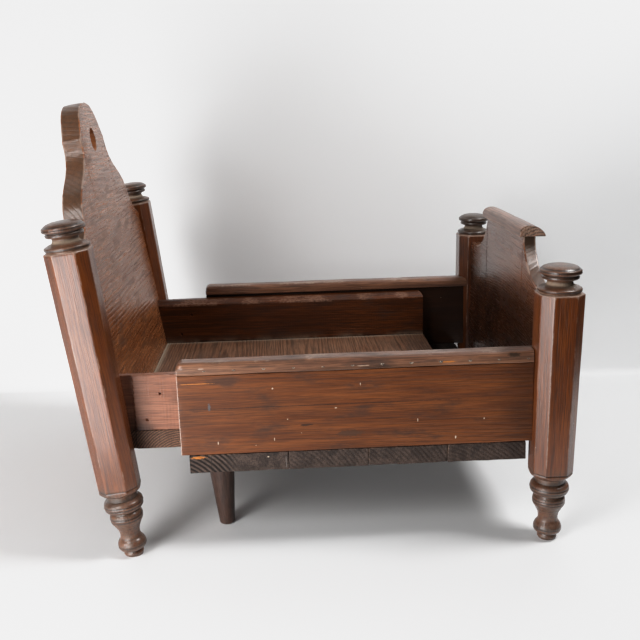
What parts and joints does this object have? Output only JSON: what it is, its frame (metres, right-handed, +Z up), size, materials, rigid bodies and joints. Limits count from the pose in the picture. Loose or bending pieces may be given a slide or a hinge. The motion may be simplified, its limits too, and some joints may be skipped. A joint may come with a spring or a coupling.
{
  "type": "telescoping doll's bed",
  "caption": "Extending wooden doll's bed with turned posts, leaning shaped headboard, roll-topped footboard and a head section that slides in the foot section.",
  "frame": {"origin": "centre of the bed's footprint at rest, on the floor", "axes": "+X from the headboard to the footboard, +Y to the right seen from the foot of the bed looking at the headboard, +Z up"},
  "size_m": [0.5326, 0.4276, 0.4559],
  "materials": {
    "turned_posts": "old dark red-brown stain with a worn satin varnish",
    "end_boards": "old dark brown stain, grain raised, worn satin varnish",
    "side_rails": "dark red-brown stain, streaked grain, worn satin varnish",
    "rail_caps": "grey-brown worn varnish on a rounded strip",
    "floor_pine": "dry, dusty, dark stained softwood with raised grain",
    "support_pegs": "dark brown stain, smooth turned",
    "iron_nails": "small iron nails, dull and darkened"
  },
  "bodies": {
    "foot_section": {"foot_post_left": "turned_posts", "foot_post_right": "turned_posts", "footboard": "end_boards", "footboard_cap": "rail_caps", "footboard_cap_nails": "iron_nails", "outer_floor_board_1": "floor_pine", "outer_floor_board_2": "floor_pine", "outer_floor_board_3": "floor_pine", "outer_floor_board_4": "floor_pine", "outer_floor_nails": "iron_nails", "outer_rail_cap_left": "rail_caps", "outer_rail_cap_nails_left": "iron_nails", "outer_rail_cap_nails_right": "iron_nails", "outer_rail_cap_right": "rail_caps", "outer_rail_left": "side_rails", "outer_rail_right": "side_rails", "support_peg_left": "support_pegs", "support_peg_right": "support_pegs"},
    "head_section": {"head_post_left": "turned_posts", "head_post_right": "turned_posts", "headboard": "end_boards", "headboard_nails": "iron_nails", "inner_floor_board_1": "floor_pine", "inner_floor_board_2": "floor_pine", "inner_floor_board_3": "floor_pine", "inner_floor_board_4": "floor_pine", "inner_floor_nails": "iron_nails", "inner_rail_left": "side_rails", "inner_rail_right": "side_rails"}
  },
  "joints": [
    {"name": "bed_extension", "type": "slide", "parent": "foot_section", "child": "head_section", "axis": [-1, 0, 0], "range_m": [-0.044, 0.2]}
  ]
}
